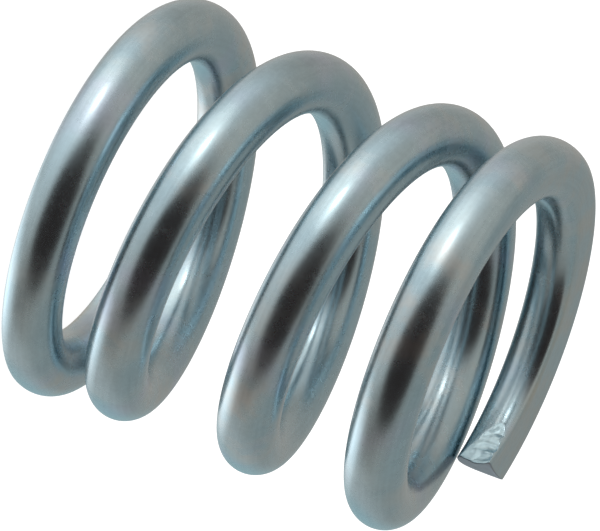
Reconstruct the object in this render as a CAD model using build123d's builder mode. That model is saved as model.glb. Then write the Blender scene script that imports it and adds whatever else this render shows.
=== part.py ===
from build123d import *
import os
from math import ceil, cos, pi, radians, sin, tan

# Small compression spring, coiled left-handed from one length of round wire.
# Both end coils are closed against their neighbours and ground flat, and the
# wire was sheared off at each tip, a little askew.
#
# Frame: the spring's axis is Z and its lower ground seat lies in the plane
# Z = 0. The origin is on the axis. The wire starts at +X and climbs clockwise as
# seen from above.

# ---------------------------------------------------------------------------
# Driving dimensions, in millimetres, turns and degrees
# ---------------------------------------------------------------------------

wire_diameter = 1.8
outside_diameter = 12.0      # over the body coils
free_length = 13.0           # from seat to seat, with no load
total_turns = 4.05           # of wire, from tip to tip
seat_turns = 0.5             # at each end, wound at the closed pitch
easing_turns = 0.56          # at each end, over which the pitch opens up
end_swell = 0.17             # how much further out the wire runs in the end coils
tip_gap = 0.05               # between a wire tip and the coil it closes against
seat_grind = 0.59            # taken off the wire at each tip
shear_lean = 29.0            # of each cut, turned from square about the spring's axis

# ---------------------------------------------------------------------------
# Derived sizes
# ---------------------------------------------------------------------------

wire_radius = wire_diameter / 2
body_radius = (outside_diameter - wire_diameter) / 2
shear_reach = wire_radius * tan(radians(shear_lean))
overrun_turns = 2 * shear_reach / (2 * pi * body_radius)
tip_turns = 1 / 6            # of wire at each end, made apart so that its tip can be cut
arcs_per_turn = 8            # circular arcs that follow the wire's centre, each tangent to the last


def eased(turns):
    """Return the area under a smooth step that rises from 0 to 1 over easing_turns."""
    part = turns / easing_turns
    if part <= 0:
        return 0.0
    if part >= 1:
        return turns - easing_turns / 2
    return easing_turns * (part**3 - part**4 / 2)


def step(turns):
    """Return the height of that smooth step."""
    part = min(max(turns / easing_turns, 0.0), 1.0)
    return part * part * (3 - 2 * part)


def open_turns(turn):
    """Return how many turns, up to this one, were wound at the open pitch."""
    lower_opening = eased(turn - seat_turns)
    upper_closing = eased(total_turns - seat_turns) - eased(total_turns - turn - seat_turns)
    return lower_opening + upper_closing - turn


# Two sums settle both pitches: over the last turn the wire rises by its own
# thickness and the tip gap, and over all its turns it rises by the free length
# less what the seats hold.
lower_height = wire_radius - seat_grind
upper_height = free_length - wire_radius + seat_grind
coil_spacing = wire_diameter + tip_gap
open_in_all = open_turns(total_turns)
open_in_last = open_in_all - open_turns(total_turns - 1)
missing_rise = upper_height - lower_height - total_turns * coil_spacing
pitch_gain = missing_rise / (open_in_all - total_turns * open_in_last)
closed_pitch = coil_spacing - pitch_gain * open_in_last


def wire_point(turn):
    """Return the wire's centre at this turn, counted from the lower tip."""
    body_share = step(turn - seat_turns) + step(total_turns - turn - seat_turns) - 1
    radius = body_radius + end_swell * (1 - body_share)
    height = lower_height + closed_pitch * turn + pitch_gain * open_turns(turn)
    angle = -2 * pi * turn
    return Vector(radius * cos(angle), radius * sin(angle), height)


def wire_direction(turn):
    """Return the unit direction in which the wire climbs at this turn."""
    nearby = 1e-4
    return (wire_point(turn + nearby) - wire_point(turn - nearby)).normalized()


def outward(turn):
    """Return the level unit direction from the axis to the wire at this turn."""
    return Vector(cos(-2 * pi * turn), sin(-2 * pi * turn), 0)


def shear_plane(turn):
    """Return the upright plane of the cut at this turn, facing up the wire."""
    facing = outward(turn).rotate(Axis.Z, shear_lean - 90)
    return Plane(origin=wire_point(turn), z_dir=facing)


def evenly(start, finish, count):
    """Return count + 1 values that divide the way from start to finish evenly."""
    return [start + (finish - start) * index / count for index in range(count + 1)]


def lay_wire(start, finish, heading):
    """Sweep the round wire from one turn to another, and return the heading that it ends with."""
    marks = evenly(start, finish, ceil((finish - start) * arcs_per_turn))
    first_heading = heading
    with BuildLine() as centreline:
        for left, right in zip(marks, marks[1:]):
            arc = TangentArc(wire_point(left), wire_point(right), tangent=heading)
            heading = arc % 1
    with BuildSketch(Plane(origin=wire_point(start), z_dir=first_heading)) as section:
        Circle(wire_radius)
    sweep(section.sketch, path=centreline.line)
    return heading


# ---------------------------------------------------------------------------
# The wire, laid in three lengths: each tip is cut while it is clear of the next coil
# ---------------------------------------------------------------------------

with BuildPart() as lower_tip:
    lower_heading = lay_wire(-overrun_turns, tip_turns, wire_direction(-overrun_turns))
    split(bisect_by=shear_plane(0), keep=Keep.TOP)

with BuildPart() as coils:
    upper_heading = lay_wire(tip_turns, total_turns - tip_turns, lower_heading)

with BuildPart() as upper_tip:
    lay_wire(total_turns - tip_turns, total_turns + overrun_turns, upper_heading)
    split(bisect_by=shear_plane(total_turns), keep=Keep.BOTTOM)

# ---------------------------------------------------------------------------
# The spring: one wire, closed at both ends and ground flat
# ---------------------------------------------------------------------------

with BuildPart() as coil_spring:
    add(coils.part)
    add(lower_tip.part)
    add(upper_tip.part)
    split(bisect_by=Plane.XY, keep=Keep.TOP)
    split(bisect_by=Plane.XY.offset(free_length), keep=Keep.BOTTOM)

coil_spring.part.label = "coil_spring"

os.makedirs("parts", exist_ok=True)
export_step(coil_spring.part, "parts/coil_spring.step")
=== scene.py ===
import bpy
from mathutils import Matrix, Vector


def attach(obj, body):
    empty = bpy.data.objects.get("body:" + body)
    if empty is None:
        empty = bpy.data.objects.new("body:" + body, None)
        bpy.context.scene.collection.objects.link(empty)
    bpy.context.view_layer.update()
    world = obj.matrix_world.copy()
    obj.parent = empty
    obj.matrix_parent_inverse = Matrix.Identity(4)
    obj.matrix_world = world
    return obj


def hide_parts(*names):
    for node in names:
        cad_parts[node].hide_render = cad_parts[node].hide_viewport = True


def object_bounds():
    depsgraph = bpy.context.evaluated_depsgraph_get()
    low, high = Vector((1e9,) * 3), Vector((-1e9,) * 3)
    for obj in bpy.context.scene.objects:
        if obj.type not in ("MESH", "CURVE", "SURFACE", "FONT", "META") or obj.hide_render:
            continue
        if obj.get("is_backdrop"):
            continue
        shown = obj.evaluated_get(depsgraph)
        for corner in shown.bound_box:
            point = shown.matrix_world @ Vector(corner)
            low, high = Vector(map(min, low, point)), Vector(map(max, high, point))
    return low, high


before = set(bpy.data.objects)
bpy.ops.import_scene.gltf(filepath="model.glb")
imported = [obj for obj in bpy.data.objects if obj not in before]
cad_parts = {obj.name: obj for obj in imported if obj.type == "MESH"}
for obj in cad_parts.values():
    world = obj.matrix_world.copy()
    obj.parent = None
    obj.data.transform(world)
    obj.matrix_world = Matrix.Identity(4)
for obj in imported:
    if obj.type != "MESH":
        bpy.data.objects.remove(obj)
CAD_LOW, CAD_HIGH = (tuple(corner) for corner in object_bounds())

from math import cos, pi, radians, sin, tan

import bpy
import numpy as np
from bpy.props import (
    FloatProperty,
    FloatVectorProperty,
    PointerProperty,
)
from mathutils import Matrix, Vector

bl_info = {
    "name": "Small Compression Spring",
    "version": (1, 0, 0),
    "blender": (4, 5, 0),
    "location": "View3D > Sidebar > Spring",
    "description": "Winds, grinds and plates a small compression spring in a plain studio",
    "category": "Add Mesh",
}


# ---------------------------------------------------------------------------
# Sizes and finishes that a user would change
# ---------------------------------------------------------------------------


def length(name, description, default):
    """A length property in metres."""
    return FloatProperty(
        name=name,
        description=description,
        default=default,
        min=0.0,
        subtype="DISTANCE",
        unit="LENGTH",
    )


def share(name, description, default, top=1.0):
    """A plain number from 0 upwards."""
    return FloatProperty(name=name, description=description, default=default, min=0.0, max=top)


def colour(name, description, default):
    """A linear colour property."""
    return FloatVectorProperty(
        name=name,
        description=description,
        default=default,
        size=3,
        min=0.0,
        max=1.0,
        subtype="COLOR",
    )


def turned(name, description, default):
    """An angle property; the default is in degrees."""
    return FloatProperty(
        name=name,
        description=description,
        default=radians(default),
        subtype="ANGLE",
        unit="ROTATION",
    )


class SpringSizes(bpy.types.PropertyGroup):
    """The sizes that the wire is wound, cut and ground to."""

    wire_diameter: length("Wire diameter", "Thickness of the round wire", 0.0018)
    outside_diameter: length("Outside diameter", "Over the body coils", 0.012)
    free_length: length("Free length", "From seat to seat with no load", CAD_HIGH[2] - CAD_LOW[2])
    total_turns: share("Turns", "Turns of wire from tip to tip", 4.05, 60.0)
    seat_turns: share("Seat turns", "Turns at each end wound at the closed pitch", 0.5, 10.0)
    easing_turns: share("Easing turns", "Turns over which the pitch opens up", 0.56, 10.0)
    end_swell: length(
        "End swell", "How much further out the wire runs in the end coils", 0.00017
    )
    tip_gap: length("Tip gap", "Between a wire tip and the coil it closes against", 0.00005)
    seat_grind: length("Seat grind", "Taken off the wire at each tip", 0.00059)
    edge_round: length("Ground edge", "Rounding of the edge of each ground seat", 0.00022)
    shear_lean: turned("Shear lean", "Lean of each cut from square across the wire", 29.0)


class PlatingFinish(bpy.types.PropertyGroup):
    """The colours and gloss of the plated wire."""

    zinc: colour("Zinc", "Reflection of the bright plating", (0.44, 0.595, 0.665))
    warm: colour("Warm film", "Reflection where the film is thicker", (0.505, 0.57, 0.585))
    lilac: colour("Lilac film", "Reflection where the film turns lilac", (0.475, 0.58, 0.69))
    ground: colour("Ground seats", "Reflection of the ground seats", (0.475, 0.625, 0.69))
    # painted reflection: a brownish band where the dark reflection meets each ground seat
    strip: colour(
        "Painted strip", "Reflection of the brown strip beside a seat", (0.50, 0.50, 0.43)
    )
    torn: colour("Torn shear", "Reflection where the shear tore the wire", (0.53, 0.70, 0.76))
    cut: colour("Cut ends", "Reflection of the sheared ends of the wire", (0.36, 0.40, 0.46))
    gloss: share("Roughness", "Roughness of the drawn and plated wire", 0.27)
    gloss_spread: share("Roughness spread", "How far the roughness strays by the grain", 0.01)
    streaks: share("Streaks", "How far the brightness strays by the drawing line", 0.035)
    mottle: share("Mottle", "How far the brightness strays by the grain", 0.04)
    grain_depth: length("Grain depth", "Depth of the fine grain of the plating", 0.0000001)
    line_depth: length("Line depth", "Depth of the drawing lines", 0.00000006)


class StudioLook(bpy.types.PropertyGroup):
    """The plain studio round the spring."""

    camera_azimuth: turned("Camera azimuth", "Round from the -Y side towards +X", -68.311)
    camera_elevation: turned("Camera elevation", "Up from the floor", 17.236)
    camera_roll: turned("Camera roll", "Turn about the line of sight", 112.058)
    camera_distance: length("Camera distance", "From the middle of the spring", 0.31892)
    frame_width: length("Frame width", "Width seen at the middle of the spring", 0.0170766)
    shift: FloatVectorProperty(
        name="Lens shift",
        description="Small shift of the frame, as a share of its width",
        default=(0.0005, 0.00499),
        size=2,
    )
    floor: colour("Floor", "Colour of the floor", (0.42, 0.42, 0.42))
    floor_side: length("Floor side", "Side of the square floor", 1.6)
    floor_lift: share("Floor lift", "Glow that the camera sees on the floor", 0.88)
    soft_level: share("Soft level", "Strength of the plain light from all round", 0.8)
    lamp_azimuth: turned("Lamp azimuth", "Where the soft lamp stands", -20.0)
    lamp_elevation: turned("Lamp elevation", "How high the soft lamp stands", 60.0)
    lamp_distance: length("Lamp distance", "From the floor under the spring", 0.6)
    lamp_side: length("Lamp side", "Side of the soft lamp", 0.5)
    lamp_power: FloatProperty(
        name="Lamp power",
        description="Power of the soft lamp",
        default=0.4,
        min=0.0,
        subtype="POWER",
        unit="POWER",
    )


# ---------------------------------------------------------------------------
# The wire's centre line
# ---------------------------------------------------------------------------


def smooth_step(part):
    """3 p^2 - 2 p^3 for p held between 0 and 1."""
    part = np.clip(part, 0.0, 1.0)
    return part * part * (3.0 - 2.0 * part)


def eased(turns, easing):
    """Area under a smooth step: e (p^3 - p^4 / 2) for p = turns / e up to 1, then turns - e / 2."""
    part = np.clip(turns / easing, 0.0, 1.0)
    return np.where(turns >= easing, turns - easing / 2, easing * (part**3 - part**4 / 2))


class Winding:
    """The centre line of the wire, as arrays over any shape of turn values.

    The closed pitch lays the coil beside each tip clear of it by the tip gap, and gain is how much
    steeper the open pitch is. Both follow from the heights of the two tips: the wire rises by
    high - low over all its turns, and by one wire and one gap over the last of them.
    """

    def __init__(self, sizes):
        self.sizes = sizes
        self.wire_radius = sizes.wire_diameter / 2
        self.body_radius = (sizes.outside_diameter - sizes.wire_diameter) / 2
        self.turns = sizes.total_turns
        self.turn_length = 2 * pi * (self.body_radius + sizes.end_swell)
        low = self.wire_radius - sizes.seat_grind
        high = sizes.free_length - low
        spacing = sizes.wire_diameter + sizes.tip_gap
        open_all = float(self.open_turns(self.turns))
        open_last = open_all - float(self.open_turns(self.turns - 1.0))
        self.low = low
        self.gain = (high - low - self.turns * spacing) / (open_all - self.turns * open_last)
        self.closed_pitch = spacing - self.gain * open_last

    def open_turns(self, turn):
        """Turns wound at the open pitch up to this one: both easings added, less the turn."""
        s = self.sizes
        whole = eased(np.float64(self.turns - s.seat_turns), s.easing_turns)
        return (
            eased(np.asarray(turn - s.seat_turns, float), s.easing_turns)
            + whole
            - eased(np.asarray(self.turns - turn - s.seat_turns, float), s.easing_turns)
            - turn
        )

    def centre(self, turn):
        """Left-hand helix: angle -2 pi t, radius R + swell (1 - b), height low + closed t + gain o.

        b is 1 over the open coils and 0 over the end coils, with a smooth step between them, and o
        is the turns wound at the open pitch.
        """
        s = self.sizes
        turn = np.asarray(turn, float)
        body = (
            smooth_step((turn - s.seat_turns) / s.easing_turns)
            + smooth_step((self.turns - turn - s.seat_turns) / s.easing_turns)
            - 1.0
        )
        radius = self.body_radius + s.end_swell * (1.0 - body)
        angle = -2 * pi * turn
        height = self.low + self.closed_pitch * turn + self.gain * self.open_turns(turn)
        return np.stack([radius * np.cos(angle), radius * np.sin(angle), height], -1)

    def frame(self, turn):
        """Unit vectors along the wire, outwards from the axis and across towards +Z."""
        near = 1e-4
        along = self.centre(turn + near) - self.centre(turn - near)
        along /= np.linalg.norm(along, axis=-1, keepdims=True)
        angle = -2 * pi * turn
        outward = np.stack([np.cos(angle), np.sin(angle), np.zeros_like(angle)], -1)
        outward -= (outward * along).sum(-1, keepdims=True) * along
        outward /= np.linalg.norm(outward, axis=-1, keepdims=True)
        return along, outward, np.cross(along, outward)


# ---------------------------------------------------------------------------
# The wire's surface
# ---------------------------------------------------------------------------


def crowded(count, crowding):
    """count + 1 values from 0 to 1, closer together at both ends: x - c sin(2 pi x) / 2 pi."""
    x = np.linspace(0.0, 1.0, count + 1)
    return x - crowding * np.sin(2 * pi * x) / (2 * pi)


# the grid: rows are sections along the wire and columns run round it, with lengths in metres
TIP_ROW = 0.000028       # between rows next to a tip
COIL_ROW = 0.000185      # between rows along the coils
TIP_REACH = 0.0034       # length of wire at each tip that has the close rows
ROW_STEPS = 24           # rows over which the close rows widen to the others
SEAT_COLUMNS = 14        # columns across each ground seat
SIDE_COLUMNS = 36        # columns round each side between the seats
SEAT_CROWDING = 0.55     # how much the columns crowd towards the edges of a seat
SIDE_CROWDING = 0.8      # the same for a side
CUT_RINGS = 21           # rings that close each cut, inside its rim

# the cuts
LEAN_REACH = 3.0         # radii of wire over which the sections turn to the lean of a cut
RIM_ROUND = 0.00003      # rounding of the rim of each cut
FACE_DEPTH = 0.000005    # how rough the face of a cut is
FACE_GRAIN = 0.00035     # size of that roughness
FACE_SEEDS = (7, 8)      # random draws for the lower and the upper cut

# the patch that the shear pressed and tore beside each cut: x is in radii of wire from its nose
PATCH_LENGTH = 1.45      # radii of wire that it reaches back from the cut
PATCH_FADE = 0.12        # how soon its tearing sets in, in radii and as a share of its breadth
PATCH_LOW = (163.0, 17.0, 0.32)    # its lower edge: angle, degrees more at the nose, their fall
PATCH_HIGH = (184.0, 24.0, 3.0)    # its upper edge: angle at the nose, growth and bend
PATCH_RAGGED = ((2.6, 9.0, 0.6), (1.6, 17.0, 2.0), (0.8, 31.0, 0.0))  # degrees, rate, start
TEAR_DEPTH = 0.0135      # how rough it is, in radii
TEAR_GRAIN = 0.00048     # size of the tearing
TEAR_SEED = 5            # random draw for it
NICK_SHARE = 0.12        # how strong the smaller nicks in it are
NICK_GRAIN = 0.00024     # size of the nicks
NICK_SEED = 6            # random draw for them

# the painted brownish reflection beside each ground seat
STRIP_BREADTH = 0.00016  # its breadth
STRIP_FADE = 0.0015      # distance from a cut over which it fades in
STRIP_INSET = 3          # columns by which the upper one lies inside its seat's edge


def rows_along(winding):
    """Turn values of the sections: even along the coils, and much closer next to both tips."""
    tip = np.arange(0.0, TIP_REACH, TIP_ROW) / winding.turn_length
    steps = np.linspace(TIP_ROW, COIL_ROW, ROW_STEPS)
    ramp = np.cumsum(steps) / winding.turn_length + tip[-1]
    start, finish = ramp[-1], winding.turns - ramp[-1]
    count = int(np.ceil((finish - start) * winding.turn_length / COIL_ROW))
    middle = np.linspace(start, finish, count + 1)
    lower = np.concatenate([tip, ramp[:-1]])
    return np.concatenate([lower, middle, (winding.turns - lower)[::-1]])


def seat_half_angle(winding, height):
    """Half the angle that a flat takes out of a section whose centre stands this high off it.

    It is arccos(h / r), and never under a least angle that opens to the natural one once the wire
    is clear of the flat, so that the columns never meet.
    """
    natural, least, opening = radians(25.0), radians(7.0), 0.9
    cut = np.arccos(np.clip(height / winding.wire_radius, -1.0, 1.0))
    clear = (height - winding.wire_radius) / (opening * winding.wire_radius)
    return np.maximum(cut, least + (natural - least) * smooth_step(clear))


def angles_round(winding, turns):
    """Angles of the columns at each section, crowded on both sides of the edge of each flat.

    0 points outwards from the axis and a quarter turn points to +Z. Each section has four zones:
    the lower seat, the outside, the upper seat and the inside. The first column is the inner edge
    of the lower seat, and the edges of the seats move with the section.
    """
    height = winding.centre(turns)[..., 2]
    low = seat_half_angle(winding, height)[:, None]
    high = seat_half_angle(winding, winding.sizes.free_length - height)[:, None]
    flat = crowded(SEAT_COLUMNS, SEAT_CROWDING)[None, :-1]
    side = crowded(SIDE_COLUMNS, SIDE_CROWDING)[None, :-1]
    quarter = pi / 2
    zones = (
        (-quarter - low, -quarter + low, flat),
        (-quarter + low, quarter - high, side),
        (quarter - high, quarter + high, flat),
        (quarter + high, 3 * quarter - low, side),
    )
    columns = [start + (finish - start) * part for start, finish, part in zones]
    return np.concatenate(columns, axis=1)


def soft_floor(value, width):
    """max(value, 0) with its corner rounded: (v + w)^2 / 4 w for v between -w and w."""
    rounded = (value + width) ** 2 / (4 * width)
    return np.where(value > width, value, np.where(value < -width, 0.0, rounded))


def roughness_of(points, size, seed):
    """Uneven torn metal: plane waves sin(k . P + f) summed, with k about 2 pi / size long."""
    waves, slowest, fastest = 28, 0.6, 1.7
    draw = np.random.default_rng(seed)
    total = np.zeros(points.shape[:-1])
    for _ in range(waves):
        heading = draw.normal(size=3)
        k = heading / np.linalg.norm(heading) * 2 * pi / size * draw.uniform(slowest, fastest)
        total += np.sin(points @ k + draw.uniform(0.0, 2 * pi))
    return total * (2.0 / waves) ** 0.5


def pressed_patch(angles, past_cut):
    """How far the shear pressed the wire's inner side in, as radii taken off, and how torn it is.

    past_cut is the place along the wire in radii, 0 at the cut and negative back along the wire,
    and x is that place from the patch's nose. The patch lies between the angles
    low = angle + more exp(-x / fall) + ragged waves and high = angle + growth x + bend x^2. Its
    section is the chord between them: 1 - cos(h) / cos(a - m), for the half angle h and middle m.
    """
    flattest = 0.5
    x = past_cut + PATCH_LENGTH
    ahead = np.clip(x, 0.0, None)
    angle, more, fall = PATCH_LOW
    ragged = sum(size * np.sin(rate * x + start) for size, rate, start in PATCH_RAGGED)
    low = np.radians(angle + more * np.exp(-ahead / fall) + ragged)
    angle, growth, bend = PATCH_HIGH
    high = np.radians(angle + growth * ahead + bend * ahead**2)
    middle, half = (low + high) / 2, (high - low) / 2
    inside = (x > 0.0) & (np.abs(angles - middle) < half)
    chord = 1.0 - np.cos(half) / np.maximum(np.cos(angles - middle), flattest)
    depth = np.where(inside, np.maximum(chord, 0.0), 0.0)
    edge = 1.0 - np.abs(angles - middle) / half
    cover = smooth_step(edge / PATCH_FADE) * smooth_step(x / PATCH_FADE)
    return depth, np.where(inside, cover, 0.0)


def torn_face(edge, seed):
    """Rings that close a cut, from its edge in to its middle: P = C + k (E - C) + (k^6 - k) off n.

    off is how far the edge strays along the normal n of the cut's plane, so that what strays dies
    away as k^6. A torn roughness grows inside the rim.
    """
    rim_share = 0.2
    k = np.linspace(1.0, 0.0, CUT_RINGS + 2)[1:-1, None, None]
    centre = (edge.min(0) + edge.max(0)) / 2
    spokes = edge - centre
    normal = np.linalg.svd(spokes - spokes.mean(0))[2][2]
    off = (spokes @ normal)[None, :, None]
    rings = centre + k * spokes + (k**6 - k) * off * normal
    inside = smooth_step((1.0 - k) / rim_share)
    rough = roughness_of(rings, FACE_GRAIN, seed)[..., None]
    return rings + FACE_DEPTH * inside * rough * normal


def painted_seat_reflection(winding, turns, points):
    """Strength of the painted brownish reflection beside each seat: exp(-(|P - E| / b)^2).

    E is the section's point on the inner edge of the lower seat, or just inside that of the upper
    one. The strip fades out where the seat is shallow, and next to the cut.
    """
    shallow, deepening = radians(35.0), radians(45.0)
    height = winding.centre(turns)[..., 2]
    to_tip = np.minimum(turns, winding.turns - turns) * winding.turn_length
    clear = smooth_step(to_tip / STRIP_FADE - 1.0)[:, None]
    strip = np.zeros(points.shape[:2])
    upper_edge = 2 * SEAT_COLUMNS + SIDE_COLUMNS
    for column, stands in (
        (0, height),
        (upper_edge - STRIP_INSET, winding.sizes.free_length - height),
    ):
        half = seat_half_angle(winding, stands)[:, None]
        deep = smooth_step((half - shallow) / deepening)
        apart = np.linalg.norm(points - points[:, [column]], axis=-1)
        strip = np.maximum(strip, clear * deep * np.exp(-((apart / STRIP_BREADTH) ** 2)))
    return strip


def closed_grid(name, rings, attributes):
    """Join rings of points into a tube, and close each end with a fan about its mean point."""
    count, around = rings.shape[:2]
    row = np.arange(count - 1)[:, None] * around
    above = row + around
    column = np.arange(around)[None, :]
    following = (column + 1) % around
    quads = np.stack([row + column, row + following, above + following, above + column], -1)
    quads = quads.reshape(-1, 4)
    column, following = column[0], following[0]
    first, last, top = count * around, count * around + 1, (count - 1) * around
    start_fan = np.stack([np.full(around, first), following, column], -1)
    finish_fan = np.stack([np.full(around, last), top + column, top + following], -1)
    middles = [rings[0].mean(0)[None], rings[-1].mean(0)[None]]
    points = np.concatenate([rings.reshape(-1, 3), *middles])

    mesh = bpy.data.meshes.new(name)
    corners = np.concatenate([quads.ravel(), start_fan.ravel(), finish_fan.ravel()])
    corners = corners.astype(np.int32)
    sizes = np.concatenate([np.full(len(quads), 4), np.full(2 * around, 3)])
    starts = np.concatenate([[0], np.cumsum(sizes)[:-1]]).astype(np.int32)
    mesh.vertices.add(len(points))
    mesh.vertices.foreach_set("co", points.astype(np.float32).ravel())
    mesh.loops.add(len(corners))
    mesh.loops.foreach_set("vertex_index", corners)
    mesh.polygons.add(len(sizes))
    mesh.polygons.foreach_set("loop_start", starts)
    mesh.update(calc_edges=True)
    mesh.validate()
    for key, values in attributes.items():
        values = values.reshape(count * around, -1)
        ends = [values[:around].mean(0), values[-around:].mean(0)]
        values = np.concatenate([values, ends]).astype(np.float32)
        kind, field = ("FLOAT_VECTOR", "vector") if values.shape[1] == 3 else ("FLOAT", "value")
        mesh.attributes.new(key, kind, "POINT").data.foreach_set(field, values.ravel())
    mesh.polygons.foreach_set("use_smooth", np.ones(len(mesh.polygons), bool))
    return mesh


def wound_wire(sizes):
    """The whole wire, cut and ground: P(t, a) = C(t') + g (cos a outward + sin a across).

    t' is the turn moved along the wire by -tan(lean) r cos a next to a tip, so that the last
    section is the leaning cut. g is the wire's radius, less a quarter circle at the rim of each
    cut, and times one less the depth of the pressed patches. Heights are then held between the two
    seats, with their edges a little rounded, and rings inside each rim close the cuts.
    """
    winding = Winding(sizes)
    radius = winding.wire_radius
    turns = rows_along(winding)
    angles = angles_round(winding, turns)
    to_tip = np.minimum(turns, winding.turns - turns) * winding.turn_length
    lean = 1.0 - smooth_step(to_tip / (LEAN_REACH * radius))
    shift = -tan(sizes.shear_lean) * radius * np.cos(angles) / winding.turn_length
    places = turns[:, None] + lean[:, None] * shift

    # the rolled-over rim of each cut: a quarter circle, stopped just short of square
    short = 0.999
    sunk = np.clip(1.0 - to_tip / RIM_ROUND, 0.0, 1.0)
    rim_girth = radius - RIM_ROUND * (1.0 - np.sqrt(1.0 - short * sunk**2))

    # the patch beside each cut, and its torn surface
    from_upper = (places - winding.turns) * winding.turn_length / radius
    from_lower = -places * winding.turn_length / radius
    mirrored = np.where(angles < -pi / 2, angles + 2 * pi, angles)
    upper_depth, upper_cover = pressed_patch(mirrored, from_upper)
    lower_depth, lower_cover = pressed_patch((2 * pi - mirrored) % (2 * pi), from_lower)
    cover = np.maximum(upper_cover, lower_cover)
    lengthwise = places * winding.turn_length
    unrolled = np.stack([angles * radius, np.zeros_like(angles), lengthwise], -1)
    tearing = roughness_of(unrolled, TEAR_GRAIN, TEAR_SEED)
    tearing = tearing + NICK_SHARE * roughness_of(unrolled, NICK_GRAIN, NICK_SEED)
    kept = 1.0 - upper_depth - lower_depth + TEAR_DEPTH * cover * tearing
    girth = rim_girth[:, None] * kept

    centre = winding.centre(places)
    along, outward, across = winding.frame(places)
    round_part = np.cos(angles)[..., None] * outward + np.sin(angles)[..., None] * across
    points = centre + girth[..., None] * round_part

    # both seats ground flat, and rounded over the rim of each cut as well
    over_rim = (radius - rim_girth)[:, None]
    height = points[..., 2]
    low = over_rim + soft_floor(height - over_rim, sizes.edge_round)
    ground = np.clip((low - height) / sizes.edge_round, 0.0, 1.0)
    top = sizes.free_length - over_rim
    high = top - soft_floor(top - low, sizes.edge_round)
    ground = np.maximum(ground, np.clip((low - high) / sizes.edge_round, 0.0, 1.0))
    points[..., 2] = high

    # the faces of the cuts, and what the plating reads
    # painted brownish reflection beside each seat, kept off the torn patch
    strip = painted_seat_reflection(winding, turns, points) * (1.0 - cover)
    lower_seed, upper_seed = FACE_SEEDS
    lower_cap = torn_face(points[0], lower_seed)[::-1]
    upper_cap = torn_face(points[-1], upper_seed)
    rings = np.concatenate([lower_cap, points, upper_cap])
    plain = np.zeros((CUT_RINGS, angles.shape[1]))
    place = np.stack([np.cos(angles), np.sin(angles), lengthwise / radius], -1)
    first, last = (np.repeat(end, CUT_RINGS, 0) for end in (place[:1], place[-1:]))
    rim = np.broadcast_to(sunk[:, None], angles.shape)
    attributes = {
        "along_wire": np.concatenate([first, place, last]),
        "ground": np.concatenate([plain, ground, plain]),
        "torn": np.concatenate([plain, cover, plain]),
        "cut": np.concatenate([plain + 1.0, rim, plain + 1.0]),
        "strip": np.concatenate([plain, strip, plain]),
    }
    return closed_grid("coil_spring_wire", rings, attributes)


# ---------------------------------------------------------------------------
# The plating
# ---------------------------------------------------------------------------


class Nodes:
    """Short hand for building a node tree."""

    def __init__(self, tree):
        self.tree = tree
        tree.nodes.clear()

    def add(self, kind, **settings):
        """A new node with these settings."""
        node = self.tree.nodes.new(kind)
        for key, value in settings.items():
            setattr(node, key, value)
        return node

    def link(self, source, target):
        """Join two sockets."""
        self.tree.links.new(source, target)

    def attribute(self, name, output="Fac"):
        """An attribute of the surface."""
        return self.add("ShaderNodeAttribute", attribute_name=name).outputs[output]

    def noise(self, place, scale, detail, roughness):
        """Noise of this many features to the metre."""
        node = self.add("ShaderNodeTexNoise")
        self.link(place, node.inputs["Vector"])
        node.inputs["Scale"].default_value = scale
        node.inputs["Detail"].default_value = detail
        node.inputs["Roughness"].default_value = roughness
        return node.outputs["Fac"]

    def scaled(self, vector, scale):
        """The vector stretched by a Mapping node."""
        node = self.add("ShaderNodeMapping")
        self.link(vector, node.inputs["Vector"])
        node.inputs["Scale"].default_value = scale
        return node.outputs[0]

    def ramp(self, value, low, high, to_low=0.0, to_high=1.0):
        """A smooth step of the value from low to high."""
        node = self.add("ShaderNodeMapRange", interpolation_type="SMOOTHSTEP")
        self.link(value, node.inputs["Value"])
        ends = {"From Min": low, "From Max": high, "To Min": to_low, "To Max": to_high}
        for key, number in ends.items():
            node.inputs[key].default_value = number
        return node.outputs["Result"]

    def math(self, operation, first, second):
        """One operation on two values."""
        node = self.add("ShaderNodeMath", operation=operation)
        self.link(first, node.inputs[0])
        self.link(second, node.inputs[1])
        return node.outputs[0]

    def mixed(self, factor, first, second, kind="MIX"):
        """Two colours mixed; each is a socket or a plain colour, and no factor means all of it."""
        node = self.add("ShaderNodeMix", data_type="RGBA", blend_type=kind)
        if factor is None:
            node.inputs["Factor"].default_value = 1.0
        else:
            self.link(factor, node.inputs["Factor"])
        for socket, value in ((node.inputs["A"], first), (node.inputs["B"], second)):
            target = next(i for i in node.inputs if i.identifier == f"{socket.name}_Color")
            if isinstance(value, tuple):
                target.default_value = value
            else:
                self.link(value, target)
        return next(o for o in node.outputs if o.identifier == "Result_Color")

    def bump(self, height, depth, under=None):
        """A bump of this depth in metres over another one."""
        node = self.add("ShaderNodeBump")
        node.inputs["Distance"].default_value = depth
        self.link(height, node.inputs["Height"])
        if under is not None:
            self.link(under, node.inputs["Normal"])
        return node.outputs[0]


def new_material(name):
    """A blank material: the material, its nodes and the socket that its surface goes to."""
    material = bpy.data.materials.new(name)
    material.use_nodes = True
    n = Nodes(material.node_tree)
    return material, n, n.add("ShaderNodeOutputMaterial").inputs["Surface"]


# noises of the finish: features to the metre, detail and roughness of each
CLOUDS = (700.0, 3.0, 0.62)       # the cloudy film
THICK_FILM = (240.0, 2.0, 0.5)    # broad places where the film is thicker
LILAC_FILM = (420.0, 2.0, 0.55)   # places where it turns lilac
SPECKS = (7000.0, 2.0, 0.6)       # specks in its brightness and gloss
GRAIN = (5200.0, 3.0, 0.65)       # the bumpy grain of the plating
LINES = (1.0, 3.0, 0.6)           # drawing lines, over the stretched place on the wire
LINE_STRETCH = (9.0, 9.0, 0.5)    # across, across and along, to the wire's radius

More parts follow.
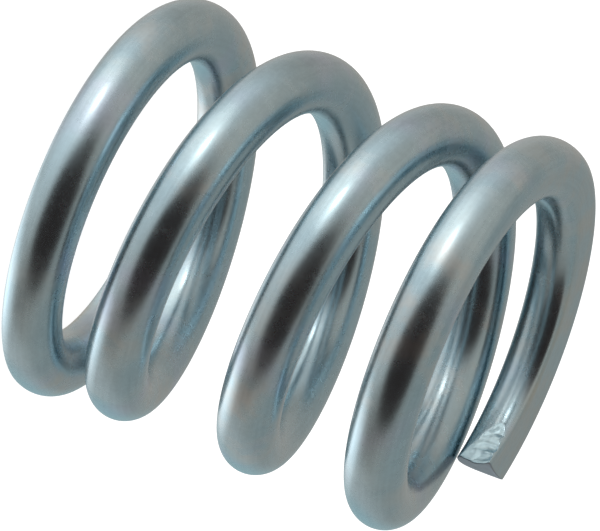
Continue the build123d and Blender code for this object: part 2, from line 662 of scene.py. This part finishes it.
# where in each noise a change sets in and where it is full
WARM_CLOUDS = (0.42, 0.68)
WARM_PLACES = (0.35, 0.65)
DULL_CLOUDS = (0.35, 0.65)
LILAC_PLACES = (0.53, 0.76)
BROWN_CLOUDS = (0.3, 0.55)
MIDDLE = (0.3, 0.7)               # most of a noise's reach
BROAD = (0.2, 0.8)                # nearly all of it
SPECK_GLOSS = (0.25, 0.75)

# the shares of a cut's rim over which its colour and its roughness set in
CUT_COLOUR = (0.0, 0.8)
CUT_ROUGH = (0.0, 0.7)

# what they change
CLOUD_SHADE = 0.06                # how far the brightness strays from cloud to cloud
CLOUD_GLOSS = 0.03                # the same for the roughness
BROWN_LEAST = 0.6                 # how strong the brown strip is between the clouds
GROUND_DULLER = 0.14              # roughness that a ground seat adds
TORN_DULLER = 0.06                # roughness that the torn patch adds
CUT_DULLER = 0.24                 # roughness that a cut adds


def plated_wire(finish):
    """Bright plating over drawn wire: cloudy film, grain, drawing lines, the worked places and a
    painted reflection beside each seat.
    """
    material, n, surface = new_material("plated_wire")
    shader = n.add("ShaderNodeBsdfPrincipled")
    n.link(shader.outputs[0], surface)
    shader.inputs["Metallic"].default_value = 1.0

    place = n.add("ShaderNodeTexCoord").outputs["Object"]
    ground, torn, cut, strip = (n.attribute(name) for name in ("ground", "torn", "cut", "strip"))
    clouds, patches, violet, specks, grain = (
        n.noise(place, *kind) for kind in (CLOUDS, THICK_FILM, LILAC_FILM, SPECKS, GRAIN)
    )
    lines = n.noise(n.scaled(n.attribute("along_wire", "Vector"), LINE_STRETCH), *LINES)

    # the film's colour, that of each worked place, and the painted reflection beside each seat
    zinc, warm, lilac = ((*tone, 1.0) for tone in (finish.zinc, finish.warm, finish.lilac))
    warmth = n.math("MULTIPLY", n.ramp(clouds, *WARM_CLOUDS), n.ramp(patches, *WARM_PLACES))
    film = n.mixed(warmth, zinc, warm)
    film = n.mixed(n.ramp(violet, *LILAC_PLACES), film, lilac)
    dull = n.mixed(n.ramp(clouds, *DULL_CLOUDS), (*finish.ground, 1.0), warm)
    film = n.mixed(n.ramp(ground, *BROAD), film, dull)
    # painted reflection: a brownish band beside each ground seat, weaker between the clouds
    seat_reflection_share = n.math("MULTIPLY", strip, n.ramp(clouds, *BROWN_CLOUDS, BROWN_LEAST, 1.0))
    film = n.mixed(seat_reflection_share, film, (*finish.strip, 1.0))
    film = n.mixed(torn, film, (*finish.torn, 1.0))
    film = n.mixed(n.ramp(cut, *CUT_COLOUR), film, (*finish.cut, 1.0))

    # its brightness
    shade = n.math(
        "ADD",
        n.ramp(specks, *BROAD, 1.0 - finish.mottle, 1.0 + finish.mottle),
        n.ramp(clouds, *MIDDLE, -CLOUD_SHADE, CLOUD_SHADE),
    )
    shade = n.math("ADD", shade, n.ramp(lines, *MIDDLE, -finish.streaks, finish.streaks))
    n.link(n.mixed(None, film, shade, kind="MULTIPLY"), shader.inputs["Base Color"])

    # its roughness
    glossy, duller = finish.gloss - finish.gloss_spread, finish.gloss + finish.gloss_spread
    gloss = n.ramp(specks, *SPECK_GLOSS, glossy, duller)
    for added in (
        n.ramp(clouds, *MIDDLE, -CLOUD_GLOSS, CLOUD_GLOSS),
        n.ramp(ground, *BROAD, 0.0, GROUND_DULLER),
        n.ramp(torn, 0.0, 1.0, 0.0, TORN_DULLER),
        n.ramp(cut, *CUT_ROUGH, 0.0, CUT_DULLER),
    ):
        gloss = n.math("ADD", gloss, added)
    n.link(gloss, shader.inputs["Roughness"])

    relief = n.bump(lines, finish.line_depth, n.bump(grain, finish.grain_depth))
    n.link(relief, shader.inputs["Normal"])
    return material


# ---------------------------------------------------------------------------
# The studio
# ---------------------------------------------------------------------------


SENSOR_WIDTH = 36.0            # in millimetres, as Blender has it
CAMERA_CLIP = (0.001, 100.0)   # nearest and furthest that the camera sees


def make_camera(scene):
    """A long lens from the low front quarter, rolled until the axis runs down to the right."""
    look = scene.spring_studio
    centre = Vector((0.0, 0.0, scene.spring_sizes.free_length / 2))
    azimuth, roll = look.camera_azimuth, look.camera_roll
    data = bpy.data.cameras.new("camera")
    camera = bpy.data.objects.new("camera", data)
    scene.collection.objects.link(camera)
    back = direction(azimuth, look.camera_elevation)
    level = Vector((cos(azimuth), sin(azimuth), 0.0))
    rise = back.cross(level)
    right = level * cos(roll) + rise * sin(roll)
    up = -level * sin(roll) + rise * cos(roll)
    place = centre + back * look.camera_distance
    facing = Matrix((right, up, back)).transposed().to_4x4()
    camera.matrix_world = Matrix.Translation(place) @ facing
    data.sensor_width = SENSOR_WIDTH
    data.lens = data.sensor_width * look.camera_distance / look.frame_width
    data.shift_x, data.shift_y = look.shift
    data.clip_start, data.clip_end = CAMERA_CLIP
    scene.camera = camera


SAMPLED_LEVEL = 3.0            # a card brighter than this is sampled as a lamp
CARD_RINGS, CARD_SPOKES = 48, 72

# name, azimuth, elevation, tilt, slimness, distance, reach, tint, level,
# feather: (angle from the middle, cover) stops; all angles in degrees
CARDS = (
    (
        "grey_room", 56.5, 41.1, 0.0, 1.0, 1.2, 172.0,
        (0.49, 0.425, 0.375), 1.0,
        ((70.0, 1.0), (100.0, 0.9), (125.0, 0.62), (145.0, 0.34), (165.0, 0.0)),
    ),
    (
        "low_wall", 83.9, 41.3, 0.0, 1.0, 1.1, 70.0,
        (0.362, 0.368, 0.35), 1.0,
        ((24.0, 1.0), (46.0, 0.6), (68.0, 0.0)),
    ),
    (
        "pale_wall", -145.4, 53.5, -75.0, 0.7, 1.0, 50.0,
        (0.66, 0.585, 0.52), 1.0,
        ((8.0, 0.7), (28.0, 0.5), (50.0, 0.0)),
    ),
    (
        "high_wall", 170.4, -0.9, 98.0, 0.6, 0.95, 46.0,
        (0.40, 0.345, 0.30), 1.0,
        ((8.0, 0.7), (26.0, 0.45), (44.0, 0.0)),
    ),
    (
        "bench", 57.3, -19.4, -134.4, 0.7, 0.95, 44.0,
        (0.76, 0.74, 0.73), 1.0,
        ((8.0, 0.45), (24.0, 0.35), (42.0, 0.0)),
    ),
    (
        "wide_light", -124.4, -29.8, 70.6, 0.5, 0.9, 46.0,
        (1.0, 0.9, 0.83), 1.75,
        ((6.0, 0.85), (26.0, 0.6), (44.0, 0.0)),
    ),
    (
        "brown_card", 3.5, -17.2, 82.6, 0.7, 0.8, 42.0,
        (0.09, 0.062, 0.055), 1.0,
        ((8.0, 0.5), (22.0, 0.3), (40.0, 0.0)),
    ),
    (
        "dark_card", -44.1, 21.7, 98.7, 0.93, 0.6, 66.0,
        (0.038, 0.026, 0.024), 1.0,
        ((36.0, 1.0), (43.0, 0.93), (48.0, 0.5), (52.0, 0.12), (60.0, 0.0)),
    ),
    (
        "cool_wall", 89.0, -17.0, 0.0, 0.8, 0.8, 30.0,
        (0.40, 0.545, 0.57), 1.0,
        ((10.0, 1.0), (19.0, 0.6), (29.0, 0.0)),
    ),
    (
        "key_glow", -106.8, -17.2, 84.1, 0.75, 0.55, 24.0,
        (1.0, 0.93, 0.88), 2.95,
        ((4.0, 0.8), (12.0, 0.4), (22.0, 0.0)),
    ),
    (
        "key_light", -112.5, -16.5, 84.1, 0.8, 0.5, 7.5,
        (1.0, 0.95, 0.92), 10.5,
        ((2.5, 1.0), (7.0, 0.0)),
    ),
    (
        "side_light", 65.0, -57.5, -173.7, 0.6, 0.55, 46.0,
        (0.97, 0.965, 0.97), 2.0,
        ((9.0, 1.0), (18.0, 0.65), (31.0, 0.3), (42.0, 0.0)),
    ),
)


def direction(azimuth, elevation):
    """The unit direction of a stand: azimuth 0 is the -Y side and a quarter turn the +X side."""
    level = cos(elevation)
    return Vector((sin(azimuth) * level, -cos(azimuth) * level, sin(elevation)))


def white_to_the_camera(n):
    """1 for rays from the camera and for rays that metal or glass sends on, otherwise 0."""
    rays = n.add("ShaderNodeLightPath").outputs
    either = n.math("MAXIMUM", rays["Is Camera Ray"], rays["Is Glossy Ray"])
    return n.math("MAXIMUM", either, rays["Is Transmission Ray"])


def plain_world(look):
    """A white world to the camera and in the metal, and plain soft light for the rest."""
    world = bpy.data.worlds.new("studio")
    world.use_nodes = True
    n = Nodes(world.node_tree)
    output = n.add("ShaderNodeOutputWorld")
    background = n.add("ShaderNodeBackground")
    level = n.add("ShaderNodeMapRange")
    level.inputs["To Min"].default_value = look.soft_level
    level.inputs["To Max"].default_value = 1.0
    n.link(white_to_the_camera(n), level.inputs["Value"])
    background.inputs["Color"].default_value = (1.0, 1.0, 1.0, 1.0)
    n.link(level.outputs["Result"], background.inputs["Strength"])
    n.link(background.outputs[0], output.inputs["Surface"])
    return world


def lay_floor(scene, look):
    """A plain pale floor, white to the camera but for the spring's soft shadow."""
    side = look.floor_side / 2
    corners = [(-side, -side, 0.0), (side, -side, 0.0), (side, side, 0.0), (-side, side, 0.0)]
    mesh = bpy.data.meshes.new("floor")
    mesh.from_pydata(corners, [], [(0, 1, 2, 3)])
    floor = bpy.data.objects.new("floor", mesh)
    scene.collection.objects.link(floor)
    floor.visible_glossy = False
    floor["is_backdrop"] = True
    material, n, surface = new_material("pale_floor")
    matt = n.add("ShaderNodeBsdfDiffuse")
    matt.inputs["Color"].default_value = (*look.floor, 1.0)
    glow = n.add("ShaderNodeEmission")
    glow.inputs["Color"].default_value = (1.0, 1.0, 1.0, 1.0)
    level = n.add("ShaderNodeMapRange")
    level.inputs["To Max"].default_value = look.floor_lift
    n.link(white_to_the_camera(n), level.inputs["Value"])
    n.link(level.outputs["Result"], glow.inputs["Strength"])
    both = n.add("ShaderNodeAddShader")
    n.link(matt.outputs[0], both.inputs[0])
    n.link(glow.outputs[0], both.inputs[1])
    n.link(both.outputs[0], surface)
    mesh.materials.append(material)


def feathered_face(name, reach, tint, level, feather):
    """A plain glow that fades out from the middle of a card to its edge by the feather's stops."""
    material, n, surface = new_material(name)
    spot = n.add("ShaderNodeUVMap", uv_map="spread")
    radius = n.add("ShaderNodeVectorMath", operation="LENGTH")
    n.link(spot.outputs[0], radius.inputs[0])
    fade = n.add("ShaderNodeValToRGB")
    fade.color_ramp.interpolation = "B_SPLINE"
    stops = fade.color_ramp.elements
    while len(stops) < len(feather):
        stops.new(0.5)
    for stop, (angle, cover) in zip(stops, feather):
        stop.position = angle / (reach * 180.0 / pi)
        stop.color = (cover, cover, cover, 1.0)
    n.link(radius.outputs["Value"], fade.inputs["Fac"])
    clear = n.add("ShaderNodeBsdfTransparent")
    face = n.add("ShaderNodeEmission")
    face.inputs["Color"].default_value = (*tint, 1.0)
    face.inputs["Strength"].default_value = level
    mix = n.add("ShaderNodeMixShader")
    n.link(fade.outputs["Color"], mix.inputs["Fac"])
    n.link(clear.outputs[0], mix.inputs[1])
    n.link(face.outputs[0], mix.inputs[2])
    n.link(mix.outputs[0], surface)
    material.cycles.emission_sampling = "AUTO" if level > SAMPLED_LEVEL else "NONE"
    return material


def hang_card(scene, name, toward, tilt, slim, distance, reach, tint, level, feather):
    """A card that stands on a sphere about the spring and is seen only in the metal.

    P(p, q) = centre + d (cos(w) toward + sin(w) (p cos(q) e1 + s p sin(q) e2) / w), for p from 0 to
    the card's reach, with w the length of (p cos q, s p sin q), s how slim the card is and e1 level
    but for tilt. Its UV map is p / reach in the direction q, and the card fades out along it by the
    feather's stops.
    """
    centre = Vector((0.0, 0.0, scene.spring_sizes.free_length / 2))
    flat = Vector((0.0, 0.0, 1.0)).cross(toward).normalized()
    rise = toward.cross(flat)
    long_side = flat * cos(tilt) + rise * sin(tilt)
    axes = np.array([toward, long_side, toward.cross(long_side)])
    rings, spokes = CARD_RINGS, CARD_SPOKES
    p = np.linspace(0.0, reach, rings + 1)[1:, None]
    q = np.linspace(0.0, 2 * pi, spokes, endpoint=False)[None, :]
    a, b = p * np.cos(q), slim * p * np.sin(q)
    w = np.hypot(a, b)
    local = np.stack([np.cos(w), np.sin(w) * a / w, np.sin(w) * b / w], -1)
    points = np.array(centre) + distance * (local.reshape(-1, 3) @ axes)
    middle = np.array(centre) + distance * np.array(toward)
    points = np.concatenate([points, middle[None]])
    row = np.arange(rings - 1)[:, None] * spokes
    beyond = row + spokes
    column = np.arange(spokes)[None, :]
    following = (column + 1) % spokes
    quads = np.stack([row + column, beyond + column, beyond + following, row + following], -1)
    fan = np.stack([np.full(spokes, rings * spokes), column[0], following[0]], -1)
    mesh = bpy.data.meshes.new(name)
    mesh.from_pydata(points.tolist(), [], quads.reshape(-1, 4).tolist() + fan.tolist())
    spread = np.stack([p / reach * np.cos(q), p / reach * np.sin(q)], -1).reshape(-1, 2)
    spread = np.concatenate([spread, [[0.0, 0.0]]])
    corners = np.empty(len(mesh.loops), np.int32)
    mesh.loops.foreach_get("vertex_index", corners)
    spread = spread[corners].astype(np.float32)
    mesh.uv_layers.new(name="spread").data.foreach_set("uv", spread.ravel())
    card = bpy.data.objects.new(name, mesh)
    scene.collection.objects.link(card)
    card.visible_camera = False
    card.visible_diffuse = False
    card.visible_shadow = False
    card.visible_transmission = False
    card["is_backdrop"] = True
    mesh.materials.append(feathered_face(name, reach, tint, level, feather))


def hang_lamp(scene, look):
    """A broad soft lamp above the spring, which softly shades the floor."""
    data = bpy.data.lights.new("soft_lamp", "AREA")
    data.size = look.lamp_side
    data.energy = look.lamp_power
    lamp = bpy.data.objects.new("soft_lamp", data)
    scene.collection.objects.link(lamp)
    lamp.visible_glossy = False
    toward = direction(look.lamp_azimuth, look.lamp_elevation)
    turn = toward.to_track_quat("Z", "Y").to_matrix().to_4x4()
    lamp.matrix_world = Matrix.Translation(toward * look.lamp_distance) @ turn


# ---------------------------------------------------------------------------
# Operators
# ---------------------------------------------------------------------------


class SPRING_OT_wind_wire(bpy.types.Operator):
    """Wind, shear, grind and plate the spring's wire"""

    bl_idname = "spring.wind_wire"
    bl_label = "Wind the Wire"

    def execute(self, context):
        scene = context.scene
        wire = bpy.data.objects.new("coil_spring_wire", wound_wire(scene.spring_sizes))
        scene.collection.objects.link(wire)
        wire.data.materials.append(plated_wire(scene.spring_finish))
        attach(wire, "root")
        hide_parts("coil_spring")
        return {"FINISHED"}


class SPRING_OT_set_studio(bpy.types.Operator):
    """Set the floor, the cards, the lamp and the camera round the spring"""

    bl_idname = "spring.set_studio"
    bl_label = "Set the Studio"

    def execute(self, context):
        scene = context.scene
        look = scene.spring_studio
        make_camera(scene)
        scene.world = plain_world(look)
        lay_floor(scene, look)
        hang_lamp(scene, look)
        for name, azimuth, elevation, tilt, slim, distance, reach, *light in CARDS:
            toward = direction(radians(azimuth), radians(elevation))
            hang_card(scene, name, toward, radians(tilt), slim, distance, radians(reach), *light)
        scene.view_settings.view_transform = "Standard"
        return {"FINISHED"}


class SPRING_PT_panel(bpy.types.Panel):
    """Lists the spring's sizes, finish and studio"""

    bl_label = "Compression Spring"
    bl_idname = "SPRING_PT_panel"
    bl_space_type = "VIEW_3D"
    bl_region_type = "UI"
    bl_category = "Spring"

    def draw(self, context):
        layout = self.layout
        for title, group in (
            ("Sizes", context.scene.spring_sizes),
            ("Finish", context.scene.spring_finish),
            ("Studio", context.scene.spring_studio),
        ):
            box = layout.box()
            box.label(text=title)
            for key in group.__annotations__:
                box.prop(group, key)
        for operator in (SPRING_OT_wind_wire, SPRING_OT_set_studio):
            layout.operator(operator.bl_idname)


# ---------------------------------------------------------------------------
# The add-on, and its run as a script
# ---------------------------------------------------------------------------


CLASSES = (
    SpringSizes,
    PlatingFinish,
    StudioLook,
    SPRING_OT_wind_wire,
    SPRING_OT_set_studio,
    SPRING_PT_panel,
)


def register():
    for item in CLASSES:
        bpy.utils.register_class(item)
    bpy.types.Scene.spring_sizes = PointerProperty(type=SpringSizes)
    bpy.types.Scene.spring_finish = PointerProperty(type=PlatingFinish)
    bpy.types.Scene.spring_studio = PointerProperty(type=StudioLook)


def unregister():
    del bpy.types.Scene.spring_studio
    del bpy.types.Scene.spring_finish
    del bpy.types.Scene.spring_sizes
    for item in reversed(CLASSES):
        bpy.utils.unregister_class(item)


def main():
    """Register the add-on and make every piece."""
    register()
    bpy.ops.spring.wind_wire()
    bpy.ops.spring.set_studio()


if __name__ == "__main__":
    main()
